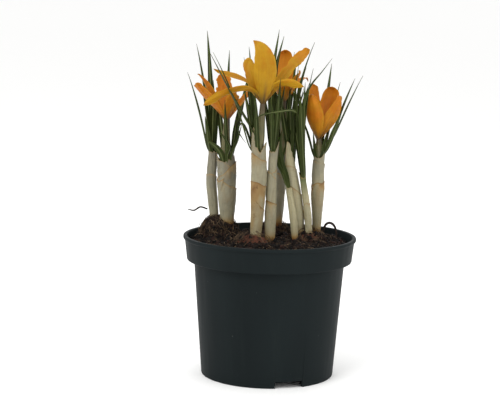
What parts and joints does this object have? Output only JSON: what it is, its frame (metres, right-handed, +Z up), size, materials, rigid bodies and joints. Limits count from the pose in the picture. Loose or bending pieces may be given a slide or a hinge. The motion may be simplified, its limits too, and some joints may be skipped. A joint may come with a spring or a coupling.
{
  "type": "potted crocus",
  "caption": "Spring crocuses with open golden flowers, narrow striped leaves and papery sheaths, growing from corms in peat in a round plastic nursery pot.",
  "frame": {"origin": "middle of the pot's foot, on the surface it stands on", "axes": "+Z up, -Y towards the viewer's front side, +X to the right seen from the front"},
  "size_m": [0.0916, 0.09, 0.1793],
  "materials": {
    "pot_plastic": "thin moulded plastic, dark grey-green, satin",
    "peat": null,
    "corm_tunic": "dry netted red-brown tunic over a firm corm",
    "papery_sheath": "papery off-white sheath, tan to rust at the foot",
    "leaf": null,
    "petal": "thin golden yellow tepal, deeper orange inside",
    "flower_tube": "soft grey-beige flower tube and bract",
    "stamen": "orange style and anthers",
    "root": "dry root strand"
  },
  "bodies": {
    "root": {"pot": "pot_plastic", "soil": "peat", "corm_left": "corm_tunic", "corm_centre": "corm_tunic", "corm_back": "corm_tunic", "corm_right": "corm_tunic", "sheath_left_thin": "papery_sheath", "sheath_left_wide": "papery_sheath", "sheath_centre_left": "papery_sheath", "sheath_centre": "papery_sheath", "sheath_centre_back": "papery_sheath", "sheath_right_front": "papery_sheath", "sheath_right_tall": "papery_sheath", "sheath_right_thin": "papery_sheath", "sheath_right": "papery_sheath", "leaves_left_thin": "leaf", "leaves_left_wide": "leaf", "leaves_centre_left": "leaf", "leaves_centre": "leaf", "leaves_centre_back": "leaf", "leaves_right_front": "leaf", "leaves_right_tall": "leaf", "leaves_right_thin": "leaf", "leaves_right": "leaf", "tube_left": "flower_tube", "tepal_left_1": "petal", "tepal_left_2": "petal", "tepal_left_3": "petal", "tepal_left_4": "petal", "tepal_left_5": "petal", "stamens_left": "stamen", "tube_centre": "flower_tube", "tepal_centre_1": "petal", "tepal_centre_2": "petal", "tepal_centre_3": "petal", "tepal_centre_4": "petal", "tepal_centre_5": "petal", "tepal_centre_6": "petal", "stamens_centre": "stamen", "tube_back": "flower_tube", "tepal_back_1": "petal", "tepal_back_2": "petal", "tepal_back_3": "petal", "tepal_back_4": "petal", "tepal_back_5": "petal", "tepal_back_6": "petal", "stamens_back": "stamen", "tube_right": "flower_tube", "tepal_right_1": "petal", "tepal_right_2": "petal", "tepal_right_3": "petal", "tepal_right_4": "petal", "tepal_right_5": "petal", "tepal_right_6": "petal", "stamens_right": "stamen", "root_left": "root", "root_right": "root"}
  },
  "joints": []
}
